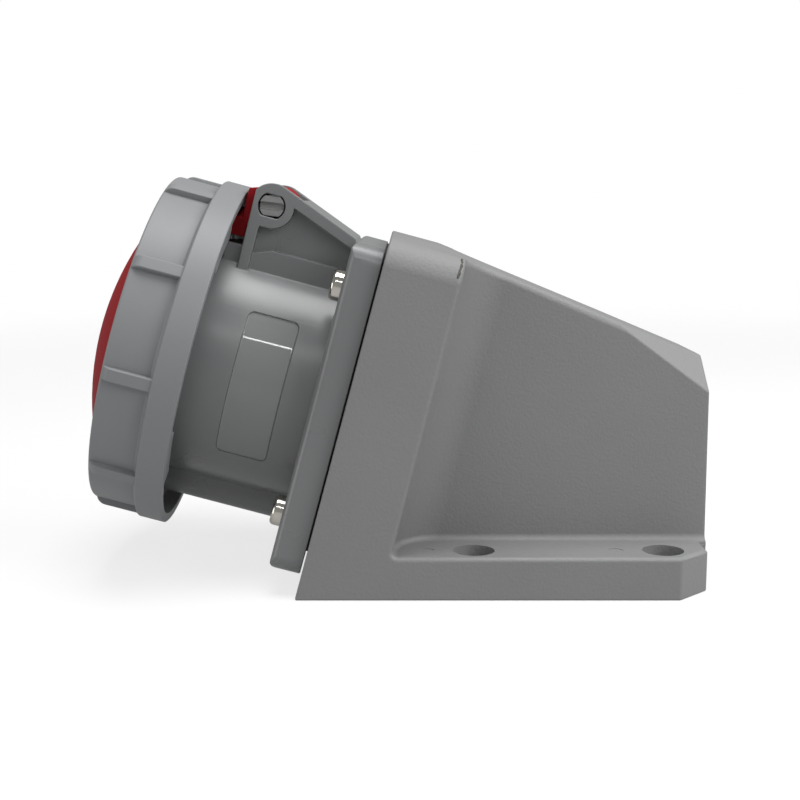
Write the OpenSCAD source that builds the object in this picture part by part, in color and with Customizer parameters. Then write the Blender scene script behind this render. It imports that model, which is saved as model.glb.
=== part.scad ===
// Surface mount pin and sleeve socket. A tilted socket with a hinged lid and a bayonet
// locking ring is screwed to the hood of a wall box that stands on two feet.
// The origin lies midway between the four foot holes, on the mounting plane.
// The mouth faces -X and is tilted up, and the box is alike on both sides of Y.

/* [Wall box] */
// Spacing of the foot holes along the box
foot_pitch = 58; // [50:1:66]
// Distance from a foot hole to the side of the box
foot_hole_edge = 9; // [8:0.5:11]
// Clear diameter of the foot holes
foot_hole_d = 6.5; // [5:0.1:7.5]
// Diameter of the counterbore over each foot hole
foot_bore_d = 12.7; // [10:0.1:14]
// Depth of the counterbore over each foot hole
foot_bore_depth = 5; // [3:0.5:8]
// Height of the feet
foot_h = 13.3; // [11:0.1:16]
// Chamfer on the end corners of the feet
foot_chamfer = 10; // [5:0.5:13]
// Radius of the fillet between a foot and the narrow body
foot_fillet = 1.4; // [1:0.1:4]
// Distance from the end holes to the end face
end_margin = 15.7; // [13:0.1:22]
// How far the feet end short of the end face
foot_end_set = 1.7; // [0.5:0.1:3]
// Distance from the front holes to the foot of the lip
front_reach = 54.5; // [50:0.5:65]
// Height of the end face
end_h = 70.5; // [64:0.5:80]
// Width of the narrow body
body_w = 58; // [52:1:64]
// Radius on the long top edges of the narrow body
body_edge_r = 3.3; // [1:0.1:4]
// Length of the corner facets along the roof
facet_len = 28; // [18:0.5:36]
// Width of the corner facets across the end face
facet_in = 13; // [8:0.5:18]
// Height of the corner facets down the end face
facet_drop = 11.3; // [6:0.1:14]
// Wall thickness of the box
box_wall = 3.5; // [2.5:0.1:4.5]
// Thickness of the wall around the cable entry
end_wall = 6; // [4:0.5:8]
// Thickness of the wall behind the flange
front_wall = 4; // [3:0.5:6]
// Diameter of the cable entry
entry_d = 40.5; // [32:0.5:44]
// Height of the cable entry above the mounting plane
entry_z = 34; // [31:0.5:38]

/* [Hood] */
// Tilt of the socket above the mounting plane
tilt = 15; // [8:1:22]
// How far the hood stands out beside the flange
hood_side_margin = 3; // [2:0.5:6]
// How far the hood stands out above the flange
hood_top_margin = 4.2; // [3:0.1:10]
// Distance along the lip from the flange down to the mounting plane
hood_foot_margin = 6.2; // [5:0.1:12]
// Depth of the top of the hood
hood_top_depth = 17.5; // [12:0.5:22]
// Depth of the sides of the hood
hood_side_depth = 23; // [21:0.5:28]
// Draft of the hood's rear wall against its lip
waist_lean = 1.7; // [0:0.1:3]
// Radius on the long top edges of the hood
hood_edge_r = 10; // [6:0.5:12]
// Radius of the hollow between the hood and the narrow body
waist_r = 15; // [8:0.5:18]

/* [Socket housing] */
// Outer diameter of the barrel
barrel_d = 78; // [74:0.5:84]
// Wall thickness of the barrel
barrel_wall = 3; // [2.5:0.1:4]
// Length of the barrel in front of the flange
barrel_len = 48.6; // [46:0.1:58]
// How far the flange stands out above the barrel
flange_margin_up = 11.4; // [9:0.1:14]
// How far the flange stands out below the barrel
flange_margin_down = 13; // [9:0.1:15]
// How far the flange stands out beside the barrel
flange_margin_side = 9; // [8.5:0.5:14]
// Thickness of the flange
flange_t = 9.8; // [8:0.1:12]
// Radius of the corners of the flange
flange_corner_r = 6; // [5:0.5:9]
// Radius on the front edge of the flange
flange_edge_r = 2.5; // [1.5:0.5:4]
// Thickness of the bulkhead that carries the contacts
bulkhead_t = 4; // [3:0.5:5]
// How far the bulkhead stands in front of the flange
bulkhead_rise = 1; // [0.5:0.5:3]
// Width of the key bulge under the barrel
bulge_w = 19; // [18:0.5:24]
// Radius of the corners of the key bulge
bulge_corner_r = 4; // [3:0.5:6]
// How far the key bulge stands out from the barrel
bulge_out = 7.4; // [6:0.1:8]
// Width of the keyway inside the key bulge
keyway_w = 13; // [10:0.5:14]
// Wall left between the keyway and the outside of the bulge
keyway_wall = 3.2; // [2.5:0.1:4]
// Length of the bare label panel along the barrel
panel_len = 16; // [12:0.5:18]
// Height of the label panel around the barrel
panel_h = 45; // [34:0.5:48]
// How far the label panel lies below the middle of the barrel
panel_drop = 1.1; // [0:0.1:2]
// Distance from the flange to the label panel
panel_set = 9.6; // [8:0.1:12]
// Depth of the label panel
panel_depth = 0.4; // [0.2:0.1:0.8]
// Radius of the corners of the label panel
panel_corner_r = 2; // [1:0.5:3]

/* [Bayonet] */
// How far the collar stands out from the barrel
collar_h = 5.5; // [4.5:0.1:6.5]
// Thickness of the collar and its lugs
collar_t = 4.5; // [3.5:0.1:5.5]
// Distance from the rim of the barrel to the collar
collar_set = 1.5; // [1:0.1:2.5]
// Gap between the ring lugs and the collar, for the swing of the lid
lug_pass = 2; // [1.8:0.1:2.6]
// Overlap of the ring lugs and the collar lugs when locked
lug_engage = 3.8; // [3:0.1:4.5]
// Gap between the collar lugs and the ring, for the swing of the lid
lug_swing = 3.6; // [3.2:0.1:4.5]
// Thickness of the ring lugs
lug_t = 4.2; // [3.5:0.1:5]
// Play between the ring lugs and the collar lugs
lug_play = 0.6; // [0.4:0.1:1]
// Distance from the back of the ring to its lugs
lug_set = 0.6; // [0.4:0.1:1]
// Angle that each lug covers
lug_angle = 22; // [18:1:24]
// Turn of the ring from free to locked
lock_turn = 30; // [28:1:36]
// Angle at the top of the collar that is left open for the lid arm
collar_gap_angle = 54; // [50:1:58]

/* [Locking ring] */
// Wall thickness of the band at the back of the ring
band_wall = 3.1; // [2.6:0.1:4]
// Length of the band
band_len = 8.4; // [7.6:0.1:12]
// Step from the band down to the ribbed part
band_step = 2.7; // [2.2:0.1:3.2]
// Length of the bevel between the band and the ribbed part
band_bevel = 1; // [0.8:0.1:2.4]
// Wall thickness of the ribbed part
ring_wall = 2.7; // [2.2:0.1:3.2]
// Thickness of the front wall of the ring
ring_front_t = 2.1; // [1.8:0.1:4]
// Radius on the front edge of the ring
ring_edge_r = 0.8; // [0.5:0.1:1.6]
// Width of the front wall from the mouth to the ring's inside
ring_land = 5.6; // [4.5:0.1:7]
// Number of ribs around the ring
rib_count = 10; // [8:1:14]
// Turn of the ribs against the hinge
rib_turn = 5; // [0:1:17]
// Width of each rib
rib_w = 4; // [3:0.5:6]
// Height of each rib
rib_h = 2; // [1:0.1:2.6]
// Radius on the front end of each rib
rib_end_r = 3.5; // [2.7:0.1:5]
// Height of the snap bead that holds the ring on the lid
bead_h = 1; // [0.6:0.1:1.2]
// Thickness of the snap bead
bead_t = 1.4; // [1:0.1:2]

/* [Lid] */
// Radius of the dome
dome_r = 93; // [80:1:130]
// Wall thickness of the dome
lid_wall = 3; // [2.5:0.1:4]
// Thickness of the rim that the ring holds
lid_rim_t = 3.2; // [2.5:0.1:4]
// Depth of the seal seat behind the rim
seat_depth = 6; // [5:0.5:8]
// Distance from the rim of the barrel to the seal seat
seat_stand = 1; // [0.6:0.1:1.6]
// Wall on each side of the seal groove
groove_wall = 2.4; // [2:0.1:3]
// Depth of the seal groove
groove_depth = 4; // [3:0.1:4.5]
// How far the seal reaches inside the barrel rim
seal_in = 1.5; // [1:0.1:2]
// How far the seal reaches outside the keyway
seal_out = 1.7; // [1.2:0.1:2.2]
// Gap between the barrel and the hinge arm
arm_gap = 5.7; // [5:0.1:6.5]

/* [Hinge] */
// Distance from the hinge pin to the back of the ring
hinge_back = 9.4; // [9.2:0.1:12]
// Height of the hinge pin above the barrel
hinge_rise = 14.4; // [13.5:0.1:16]
// Outer radius of the eyes around the pin
eye_r = 7; // [6:0.1:7.5]
// Outer radius of the lid knuckle
knuckle_r = 6.5; // [5.5:0.1:7]
// Clear width between the ears
ear_gap = 34; // [28:0.5:38]
// Thickness of the frame of each ear
ear_t = 5.3; // [4:0.1:6]
// Thickness of the web inside each ear
web_t = 1.7; // [1.2:0.1:2.5]
// Thickness of the sloping strut of each ear
strut_t = 3.5; // [2.5:0.1:4.5]
// Distance from the hinge pin to the front of the posts
post_set = 5.9; // [5:0.1:6.5]
// Thickness of the front post of each ear
post_t = 3.5; // [2.5:0.1:4.5]
// Distance from the knuckle to the bridge between the ears
bridge_gap = 2; // [1:0.1:4]
// Height of the hinge platform above the barrel
platform_rise = 1; // [0.5:0.1:2]
// How far the platform sides lie inside the ears
platform_set = 0.4; // [0.3:0.1:2]
// Inward lean of the platform sides
platform_lean = 6; // [0:1:20]
// Slope of the front end of the platform
platform_fall = 20; // [10:1:25]
// Height of the shelf in front of the posts above the barrel
shelf_rise = 0.3; // [0.2:0.1:1]
// How far the shelf's sides lie inside the ears
shelf_set = 2.3; // [1:0.1:4]
// Diameter of the hinge pin
pin_d = 7.75; // [6.5:0.05:8]
// Distance across the flats on the ends of the pin
pin_flats = 6.2; // [5:0.1:6.4]
// Width of the slots in the pin ends
pin_slot_w = 1.6; // [1.2:0.1:2]
// Depth of the slots in the pin ends
pin_slot_depth = 1.2; // [0.8:0.1:1.6]
// Turn of the pin ends in their holes
pin_turn = 8; // [0:1:9]

/* [Contacts] */
// Diameter of the circle that the power contacts lie on
contact_circle_d = 37; // [35:0.5:40]
// Pin diameter of the line and neutral contacts
line_pin_d = 8; // [7:0.1:8.5]
// Pin diameter of the earth contact
earth_pin_d = 10; // [9:0.1:10.5]
// Pin diameter of the pilot contact
pilot_pin_d = 6; // [5:0.1:6.5]
// Wall thickness of the sleeves
sleeve_wall = 2; // [1.6:0.1:2.4]
// Width of the slits in the sleeves
slit_w = 1; // [0.8:0.1:1.4]
// Length of the slits in the sleeves
slit_len = 20; // [15:0.5:24]
// Width of the spring bands
band_w = 5; // [4:0.5:6]
// Thickness of the spring bands
spring_t = 0.5; // [0.4:0.1:0.7]
// Angle that each spring band is open
band_open = 24; // [15:1:40]
// Height of the locating collar on each sleeve
sleeve_collar_h = 1.8; // [1.4:0.1:2.2]
// Thickness of the locating collar on each sleeve
sleeve_collar_t = 3.5; // [3:0.1:4]
// Depth that the pins reach into the sleeves
pin_reach = 30; // [26:0.5:32]
// Length of the terminals behind the retainer
terminal_len = 17; // [15:0.5:18]
// Diameter of the wire holes in the terminals
wire_d = 6.6; // [5:0.1:7]
// Depth of the wire holes in the terminals
wire_depth = 14; // [12:0.5:16]
// Distance from the end of a terminal to its screw
terminal_screw_set = 7; // [5:0.5:8]
// Distance that the pilot sleeve lies behind the others
pilot_set = 8; // [6:0.5:12]
// Distance from the rim of the barrel to the contact carrier's face
face_set = 8; // [6:0.5:10]
// Chamfer on the edge of the contact carrier's face
face_chamfer = 1.5; // [0.5:0.1:2]
// Gap for the shroud of the plug around the carrier
shroud_gap = 4; // [3.5:0.1:5]
// Thickness of the carrier's face over the sleeves
entry_t = 3; // [2.5:0.1:4]
// How far the entry holes widen around the pins
entry_gap = 0.5; // [0.3:0.1:0.8]
// Countersink on the entry holes
entry_sink = 1; // [0.5:0.1:1.4]
// How far the retainer reaches beyond the barrel's inside
retainer_lap = 2; // [1:0.1:2.5]

/* [Fasteners] */
// Shank diameter of the flange screws
flange_screw_d = 5; // [4:0.1:5.5]
// Distance from the flange's edges to its screws
flange_screw_edge = 12; // [11:0.5:13]
// Head diameter of the flange screws
flange_head_d = 9.6; // [8.5:0.1:10.5]
// Head height of the flange screws
flange_head_h = 3; // [2.5:0.1:4]
// Radius on the edge of the screw heads as a share of their height
head_round = 0.4; // [0.2:0.05:0.5]
// Width of the cross recess as a share of the head's diameter
recess_width = 0.14; // [0.1:0.01:0.2]
// Span of the cross recess as a share of the head's diameter
recess_span = 0.6; // [0.4:0.05:0.7]
// Depth of the cross recess as a share of the head's height
recess_sink = 0.55; // [0.3:0.05:0.7]
// Length of the threaded inserts
insert_len = 10; // [8:0.5:12]
// Wall thickness of the threaded inserts
insert_wall = 1.1; // [0.8:0.1:1.5]
// Wall of the bosses around the inserts
boss_wall = 2.6; // [2:0.1:3]
// Thickness of the gasket under the flange
gasket_t = 0.5; // [0.3:0.1:1.5]
// How far the gasket lies inside the flange's top and side edges
gasket_inset = 3; // [2:0.5:4]
// How far the gasket lies inside the flange's lower edge
gasket_inset_down = 7; // [3:0.5:7]
// Width of the land around the box's front opening
opening_land = 5; // [4:0.5:6]
// Shank diameter of the retainer screws
retainer_screw_d = 3.9; // [3:0.1:4.5]
// Distance from the carrier's edge to its screws
retainer_screw_edge = 4.5; // [4:0.1:6]
// Depth of the retainer screws in the carrier
retainer_screw_bite = 12; // [8:0.5:16]
// Head diameter of the retainer screws
retainer_head_d = 7.2; // [6:0.1:8]
// Head height of the retainer screws
retainer_head_h = 2.6; // [2:0.1:3]
// Shank diameter of the terminal screws
terminal_screw_d = 4.8; // [4:0.1:5]
// How far the terminal screws stand out of the terminals
terminal_screw_out = 1.5; // [1:0.1:2]

/* [Clearances] */
// Radial gap of the hinge pin in the lid knuckle
pin_run_gap = 0.06; // [0.03:0.01:0.1]
// Radial gap of the hinge pin in the ears
pin_hole_gap = 0.38; // [0.2:0.02:0.5]
// Gap between pieces that move past each other
run_gap = 0.3; // [0.25:0.05:0.5]
// Gap between the back of the ring and the hinge arm
arm_back_gap = 0.7; // [0.5:0.1:1]
// Radial gap between pieces that fit into each other
fit_gap = 0.15; // [0.1:0.05:0.25]
// Radial gap of threads, which are modelled plain
thread_gap = 0.05; // [0.03:0.01:0.1]
// Radial gap of screws in their clearance holes
screw_gap = 0.25; // [0.15:0.05:0.5]

/* [Hidden] */
$fn = 96;
// Overshoot of cuts beyond the faces that they pass through
cut = 1;
// Depth to which joined shapes run into each other
overlap = 1;
// Reach of planes that only trim another shape
far = 400;
grey_box = "#7b7d7c";
grey_socket = "#73767a";
grey_ring = "#8d9194";
lid_red = "#b0353a";
rubber_black = "#1d1d1d";
insulator_black = "#2b2b2c";
brass = "#c2a14d";
zinc = "#c9c8c0";
steel = "#a8a9ab";
nylon_grey = "#8b8d8c";

// Flange, in its own plane
barrel_r = barrel_d / 2;
barrel_in_r = barrel_r - barrel_wall;
flange_up = barrel_r + flange_margin_up;
flange_down = barrel_r + flange_margin_down;
flange_half = (flange_up + flange_down) / 2;
flange_shift = (flange_up - flange_down) / 2;
flange_side = barrel_r + flange_margin_side;
screw_out = flange_side - flange_screw_edge;
lip_z = -flange_t - gasket_t;

// Box, in the row's own axes
box_half = flange_side + hood_side_margin;
body_half = body_w / 2;
foot_hole_x = foot_pitch / 2;
foot_hole_y = box_half - foot_hole_edge;
end_x = foot_hole_x + end_margin;
lip_foot_x = -foot_hole_x - front_reach;
lip_below = flange_down + hood_foot_margin;
hood_up = flange_up + hood_top_margin;
lip_mid = [lip_foot_x + lip_below * sin(tilt), lip_below * cos(tilt)];
function behind_lip(depth, up) = lip_mid + depth * [cos(tilt), -sin(tilt)] + up * [sin(tilt), cos(tilt)];
roof_kink = behind_lip(hood_top_depth, hood_up);
roof_fall = atan2(roof_kink[1] - end_h, end_x - roof_kink[0]);
function roof_z(x) = end_h + (end_x - x) * tan(roof_fall);
waist_tilt = tilt - waist_lean;
waist_mid = behind_lip(hood_side_depth, 0);
waist_foot_x = waist_mid[0] - waist_mid[1] * tan(waist_tilt);
seat_mid = behind_lip(lip_z, 0);
insert_r = flange_screw_d / 2 + thread_gap + insert_wall;
boss_r = insert_r + fit_gap + boss_wall;

// Bayonet and ring, along the socket axis and out from it
collar_front = barrel_len - collar_set;
collar_back = collar_front - collar_t;
ring_back = collar_back - lug_play - lug_t - lug_set;
collar_r = barrel_r + collar_h;
ring_lug_r = collar_r + lug_pass;
collar_lug_r = ring_lug_r + lug_engage;
band_in_r = collar_lug_r + lug_swing;
ring_r = band_in_r + band_wall;
rib_base_r = ring_r - band_step;
ring_in_r = rib_base_r - ring_wall;
mouth_r = ring_in_r - ring_land;
seat_z = barrel_len + seat_stand;
rim_back = seat_z + seat_depth;
rim_front = rim_back + lid_rim_t;
ring_front_in = rim_front + run_gap;
ring_front = ring_front_in + ring_front_t;
bead_r = ring_in_r - bead_h;
// Places of the collar lugs, from the top of the socket towards +Y
lug_places = [80, 205, 290];
arm_half = ear_gap / 2 - run_gap;

// Hinge, along the socket axis and up from it
hinge_z = ring_back - hinge_back;
hinge_x = barrel_r + hinge_rise;
post_front = hinge_z + post_set;
platform_x = barrel_r + platform_rise;
ear_out = ear_gap / 2 + ear_t;
platform_half = ear_out - platform_set;
bridge_end = hinge_z - knuckle_r - bridge_gap;
strut_angle = atan2(hinge_x - flange_up, hinge_z) + asin(eye_r / norm([hinge_z, hinge_x - flange_up]));
// Where the struts end inside the flange
strut_root_z = -flange_edge_r;
function strut_top(z) = flange_up + z * tan(strut_angle);
function strut_under(z) = strut_top(z) - strut_t / cos(strut_angle);
pin_r = pin_d / 2;
pin_hole_r = pin_r + pin_hole_gap;

// Lid
dome_edge_r = mouth_r - run_gap;
dome_edge_z = ring_front - run_gap;
dome_mid_z = dome_edge_z - sqrt(pow(dome_r, 2) - pow(dome_edge_r, 2));
keyway_out = barrel_r + bulge_out - keyway_wall;
seal_in_r = barrel_in_r - seal_in;
seal_out_r = keyway_out + seal_out;
arm_in_r = barrel_r + arm_gap;
arm_out_r = bead_r - run_gap;
arm_back = ring_back - arm_back_gap;

// Contacts
bulkhead_back = bulkhead_rise - bulkhead_t;
carrier_r = barrel_in_r - shroud_gap;
carrier_face = barrel_len - face_set;
retainer_r = barrel_in_r + retainer_lap;
contact_circle_r = contact_circle_d / 2;
sleeve_front = carrier_face - entry_t - run_gap;
terminal_end = -flange_t - terminal_len;
retainer_screw_circle_r = carrier_r - retainer_screw_edge;
// Places of the contacts and the retainer screws, from the top of the socket towards +Y
earth_place = 180;
contact_step = 360 / 5;
line_places = [for (i = [1:4]) earth_place + i * contact_step];
retainer_screw_places = [for (i = [2, 4, 5]) earth_place + (i + 0.5) * contact_step];
function sleeve_r(pin) = pin / 2 + fit_gap + sleeve_wall;

// Frames and sections shared by several pieces

// Places a shape in the socket's frame: x up along the flange, z out along the axis
module socket_frame() {
  translate([seat_mid[0], 0, seat_mid[1]])
    rotate([0, tilt - 90, 0])
      children();
}

// Places a shape in a frame that leans back by an angle: x to the rear, z up
module leaning_frame(point, angle) {
  translate([point[0], 0, point[1]])
    rotate([0, angle, 0])
      children();
}

// Extrudes an outline in x and z across the box
module across_box(width) {
  rotate([90, 0, 0])
    linear_extrude(width, center = true)
      children();
}

// Extrudes an outline in the socket's z and x across the socket
module across_socket(width) {
  rotate(-120, [1, 1, 1])
    linear_extrude(width, center = true)
      children();
}

// Extrudes an outline in y and z along x
module along_x(start, end) {
  rotate(120, [1, 1, 1])
    translate([0, 0, start])
      linear_extrude(end - start)
        children();
}

// Places a shape on both sides of the middle plane
module both_sides() {
  children();
  mirror([0, 1, 0])
    children();
}

// Section of a block with rounded top edges, its top at a given height
module round_top_section(half, top, r) {
  translate([-half, -far])
    square([2 * half, far + top - r]);
  translate([r - half, -far])
    square([2 * (half - r), far + top]);
  for (side = [-1, 1])
    translate([side * (half - r), top - r])
      circle(r);
}

// Hollow corner between two faces at right angles
module hollow_corner(r) {
  difference() {
    translate([-cut, -cut])
      square(r + cut);
    translate([r, r])
      circle(r);
  }
}

// Places a shape at each of the flange's screws
module at_flange_screws() {
  for (up = [-screw_out, screw_out], side = [-screw_out, screw_out])
    translate([up, side, 0])
      children();
}

// Places a shape at an angle around the socket axis, from its top towards +Y
module around_axis(angle, r) {
  rotate([0, 0, angle])
    translate([r, 0, 0])
      children();
}

// Part of a ring around the socket axis, centred on an angle
module ring_sector(in_r, out_r, back, front, middle, angle) {
  rotate([0, 0, middle - angle / 2])
    rotate_extrude(angle = angle)
      translate([in_r, back])
        square([out_r - in_r, front - back]);
}

// Wall box

// Side view of the box, or of its hollow when set in by the walls
module box_outline() {
  polygon([[lip_foot_x, 0], behind_lip(0, hood_up), roof_kink, [end_x, end_h], [end_x, 0]]);
}

module hollow_outline() {
  kink_shift = box_wall * tan((roof_fall - tilt) / 2);
  back_x = end_x - end_wall;
  floor_up = (box_wall - lip_mid[1] + front_wall * sin(tilt)) / cos(tilt);
  polygon([
    behind_lip(front_wall, floor_up),
    behind_lip(front_wall, hood_up - box_wall),
    behind_lip(hood_top_depth - kink_shift, hood_up - box_wall),
    [back_x, roof_z(back_x) - box_wall / cos(roof_fall)],
    [back_x, box_wall]
  ]);
}

// Hood and narrow body in plan, set in by the walls for the hollow
module hood_block(inset) {
  intersection() {
    leaning_frame(lip_mid, tilt)
      along_x(-cut, far)
        round_top_section(box_half - inset, hood_up - inset, hood_edge_r - inset);
    leaning_frame(waist_mid, waist_tilt)
      translate([-far - inset, -far, -far])
        cube([far, 2 * far, 2 * far]);
  }
}

module body_block(inset) {
  edge_r = max(body_edge_r - inset, body_edge_r / 2);
  leaning_frame([end_x, end_h], roof_fall)
    along_x(-far, far)
      round_top_section(body_half - inset, -inset, edge_r);
}

module waist_hollow() {
  leaning_frame(waist_mid, waist_tilt)
    translate([0, body_half, -far])
      linear_extrude(2 * far)
        hollow_corner(waist_r);
}

// Flat that takes off an upper corner of the end face, set in by the wall for the hollow
module corner_facet(inset) {
  facet_start = end_x - facet_len;
  corners = [
    [facet_start, body_half, roof_z(facet_start)],
    [end_x, body_half - facet_in, end_h],
    [end_x, body_half, end_h - facet_drop]
  ];
  middle = (corners[0] + corners[1] + corners[2]) / 3;
  across = cross(corners[1] - corners[0], corners[2] - corners[0]);
  out = across * sign(across[0]) / norm(across);
  spread = 3;
  base = [for (corner = corners) middle + spread * (corner - middle) - inset * out];
  apex = middle + 2 * facet_len * out;
  polyhedron(concat(base, [apex]), [[0, 1, 2], [0, 3, 1], [1, 3, 2], [2, 3, 0]]);
}

module feet() {
  foot_end = end_x - foot_end_set;
  linear_extrude(foot_h)
    polygon([
      [waist_foot_x - waist_r, -box_half],
      [foot_end - foot_chamfer, -box_half],
      [foot_end, foot_chamfer - box_half],
      [foot_end, box_half - foot_chamfer],
      [foot_end - foot_chamfer, box_half],
      [waist_foot_x - waist_r, box_half]
    ]);
  both_sides()
    along_x(waist_foot_x, foot_end)
      translate([body_half, foot_h])
        hollow_corner(foot_fillet);
}

module foot_holes() {
  for (x = [-foot_hole_x, foot_hole_x], y = [-foot_hole_y, foot_hole_y])
    translate([x, y, 0]) {
      translate([0, 0, -cut])
        cylinder(d = foot_hole_d, h = foot_h + 2 * cut);
      translate([0, 0, foot_h - foot_bore_depth])
        cylinder(d = foot_bore_d, h = foot_bore_depth + cut);
    }
}

module box_hollow() {
  difference() {
    intersection() {
      across_box(2 * box_half)
        hollow_outline();
      union() {
        hood_block(box_wall);
        body_block(box_wall);
      }
    }
    both_sides()
      corner_facet(box_wall);
    socket_frame()
      at_flange_screws()
        translate([0, 0, lip_z - insert_len - boss_wall])
          cylinder(r = boss_r, h = insert_len + boss_wall);
  }
}

module wall_box() {
  color(grey_box)
    difference() {
      union() {
        intersection() {
          across_box(2 * box_half)
            box_outline();
          union() {
            hood_block(0);
            body_block(0);
            both_sides()
              waist_hollow();
          }
        }
        intersection() {
          feet();
          across_box(2 * box_half)
            box_outline();
        }
      }
      box_hollow();
      both_sides()
        corner_facet(0);
      foot_holes();
      translate([end_x - end_wall - cut, 0, entry_z])
        rotate([0, 90, 0])
          cylinder(d = entry_d, h = end_wall + 2 * cut);
      socket_frame() {
        translate([0, 0, lip_z - front_wall - cut])
          cylinder(r = retainer_r + opening_land, h = front_wall + 2 * cut);
        at_flange_screws()
          translate([0, 0, lip_z - insert_len])
            cylinder(r = insert_r + fit_gap, h = insert_len + cut);
      }
    }
}

// Socket housing

// Rectangle with round corners, given by its half sizes
module round_rectangle(half_x, half_y, r) {
  square([2 * half_x, 2 * (half_y - r)], center = true);
  square([2 * (half_x - r), 2 * half_y], center = true);
  for (x = [-1, 1], y = [-1, 1])
    translate([x * (half_x - r), y * (half_y - r)])
      circle(r);
}

// Outline of the flange from the side, with its front edges rounded
module flange_side_outline(half) {
  for (side = [-1, 1])
    translate([-flange_edge_r, side * (half - flange_edge_r)])
      circle(flange_edge_r);
  translate([-flange_t, -half])
    square([flange_t - flange_edge_r, 2 * half]);
  translate([-flange_t, flange_edge_r - half])
    square([flange_t, 2 * (half - flange_edge_r)]);
}

module flange_plate() {
  translate([flange_shift, 0, 0])
    intersection() {
      translate([0, 0, -flange_t])
        linear_extrude(flange_t)
          round_rectangle(flange_half, flange_side, flange_corner_r);
      across_socket(2 * flange_side)
        flange_side_outline(flange_half);
      rotate([0, 0, -90])
        across_socket(2 * flange_half)
          flange_side_outline(flange_side);
    }
}

// Section of the barrel with the key bulge under it
module barrel_section() {
  bulge_end = barrel_r + bulge_out;
  circle(barrel_r);
  translate([-bulge_end / 2, 0])
    round_rectangle(bulge_end / 2, bulge_w / 2, bulge_corner_r);
}

module bayonet_collar() {
  ring_sector(barrel_r - overlap, collar_r, collar_back, collar_front, 180, 360 - collar_gap_angle);
  for (place = lug_places)
    ring_sector(collar_r - overlap, collar_lug_r, collar_back, collar_front, place, lug_angle);
}

// Block on top of the barrel that carries the ears, its sides leaning in below
module hinge_platform() {
  fall_z = hinge_z - eye_r / 2;
  fall_x = platform_x - (post_front - fall_z) * tan(platform_fall);
  foot_x = barrel_in_r / 2;
  lean = (platform_x - foot_x) * tan(platform_lean);
  intersection() {
    across_socket(2 * platform_half)
      polygon([
        [-flange_t / 2, foot_x],
        [-flange_t / 2, platform_x],
        [fall_z, platform_x],
        [post_front, fall_x],
        [post_front, foot_x]
      ]);
    translate([0, 0, -flange_t])
      linear_extrude(flange_t + barrel_len)
        polygon([
          [foot_x, lean - platform_half],
          [platform_x, -platform_half],
          [platform_x, platform_half],
          [foot_x, platform_half - lean]
        ]);
  }
}

// Shelf in front of the posts, under the arm of the lid
module arm_shelf() {
  foot_x = barrel_in_r / 2;
  half = ear_out - shelf_set;
  translate([foot_x, -half, post_front - overlap])
    cube([barrel_r + shelf_rise - foot_x, 2 * half, arm_back - post_front + overlap]);
}

// Outline of an ear: eye, front post and the strut that falls from the eye to the flange
module ear_outline() {
  tangent = [hinge_z - eye_r * sin(strut_angle), hinge_x + eye_r * cos(strut_angle)];
  foot_x = barrel_in_r / 2;
  intersection() {
    translate([hinge_z, hinge_x])
      circle(eye_r);
    square([post_front, 2 * hinge_x]);
  }
  polygon([
    [strut_root_z, foot_x],
    [strut_root_z, strut_under(strut_root_z)],
    [0, strut_top(0)],
    tangent,
    [hinge_z, hinge_x],
    [post_front, hinge_x],
    [post_front, foot_x]
  ]);
}

// Outline of the pocket between the eye, the post and the strut
module ear_pocket() {
  back_z = post_front - post_t;
  difference() {
    polygon([
      [strut_root_z, 0],
      [strut_root_z, strut_under(strut_root_z)],
      [back_z, strut_under(back_z)],
      [back_z, 0]
    ]);
    translate([hinge_z, hinge_x])
      circle(eye_r);
  }
}

module hinge_ear() {
  translate([0, (ear_gap + ear_t) / 2, 0])
    difference() {
      across_socket(ear_t)
        ear_outline();
      translate([0, web_t, 0])
        across_socket(ear_t)
          ear_pocket();
    }
}

module hinge_bridge() {
  across_socket(ear_gap + web_t)
    polygon([
      [strut_root_z, strut_under(strut_root_z)],
      [0, strut_top(0)],
      [bridge_end, strut_top(bridge_end)],
      [bridge_end, strut_under(bridge_end)]
    ]);
}

// Hole with two flats for the ends of the pin
module pin_hole() {
  translate([hinge_x, 0, hinge_z])
    across_socket(2 * ear_out + 2 * cut)
      intersection() {
        circle(pin_hole_r);
        square([2 * pin_hole_r, pin_flats + 2 * pin_hole_gap], center = true);
      }
}

// Shallow panel on the near side of the barrel
module label_panel() {
  panel_r = barrel_r - panel_depth;
  intersection() {
    translate([0, 0, panel_set - cut])
      difference() {
        cylinder(r = barrel_r + cut, h = panel_len + 2 * cut);
        translate([0, 0, -cut])
          cylinder(r = panel_r, h = panel_len + 4 * cut);
      }
    translate([-panel_drop, -barrel_r, panel_set + panel_len / 2])
      across_socket(barrel_r)
        round_rectangle(panel_len / 2, panel_h / 2, panel_corner_r);
  }
}

module socket_housing() {
  color(grey_socket)
    socket_frame()
      difference() {
        union() {
          flange_plate();
          translate([0, 0, -flange_t / 2])
            linear_extrude(flange_t / 2 + barrel_len)
              barrel_section();
          bayonet_collar();
          hinge_platform();
          arm_shelf();
          both_sides()
            hinge_ear();
          hinge_bridge();
        }
        translate([0, 0, bulkhead_rise])
          cylinder(r = barrel_in_r, h = barrel_len);
        translate([0, 0, bulkhead_back - flange_t])
          cylinder(r = retainer_r + run_gap, h = flange_t);
        translate([-keyway_out, -keyway_w / 2, bulkhead_rise])
          cube([keyway_out, keyway_w, barrel_len]);
        contact_holes(bulkhead_back - cut, bulkhead_rise + cut, fit_gap);
        retainer_screw_holes(bulkhead_back - cut, bulkhead_rise + cut, screw_gap);
        at_flange_screws()
          translate([0, 0, -flange_t - cut])
            cylinder(d = flange_screw_d + 2 * screw_gap, h = flange_t + 2 * cut);
        pin_hole();
        label_panel();
      }
}

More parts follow.
